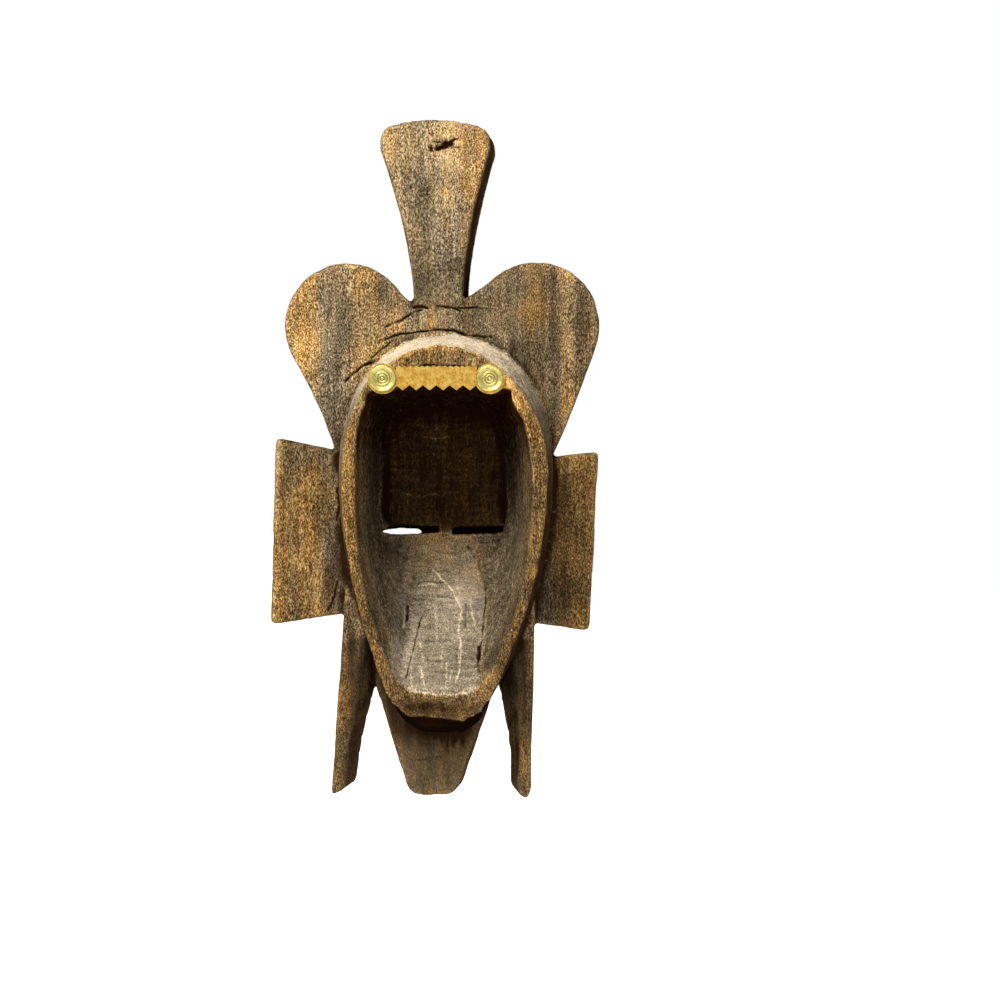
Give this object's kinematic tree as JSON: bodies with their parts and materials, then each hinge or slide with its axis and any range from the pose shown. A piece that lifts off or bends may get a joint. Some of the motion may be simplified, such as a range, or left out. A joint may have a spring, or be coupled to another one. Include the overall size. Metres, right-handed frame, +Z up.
{
  "type": "carved wooden wall mask",
  "caption": "Carved wooden wall mask with an oval face before a boat-shaped hollow, flared crest, round lobes, ear plates, legs and chin piece, hung by a brass sawtooth hanger.",
  "frame": {"origin": "middle of the sawtooth hanger's outer face, which lies against the wall", "axes": "+Z up, the face looks along -Y, the hollow back and the hanger look along +Y"},
  "size_m": [0.1239, 0.0652, 0.2556],
  "materials": {
    "carved_wood": "dry, hand-carved, dark-stained with worn orange-brown edges",
    "hanger_brass": "brass-plated steel, satin",
    "nail_brass": "brass-plated steel, polished"
  },
  "bodies": {
    "root": {"mask": "carved_wood", "hanger_strip": "hanger_brass", "hanger_nail_left": "nail_brass", "hanger_nail_right": "nail_brass"}
  },
  "joints": []
}
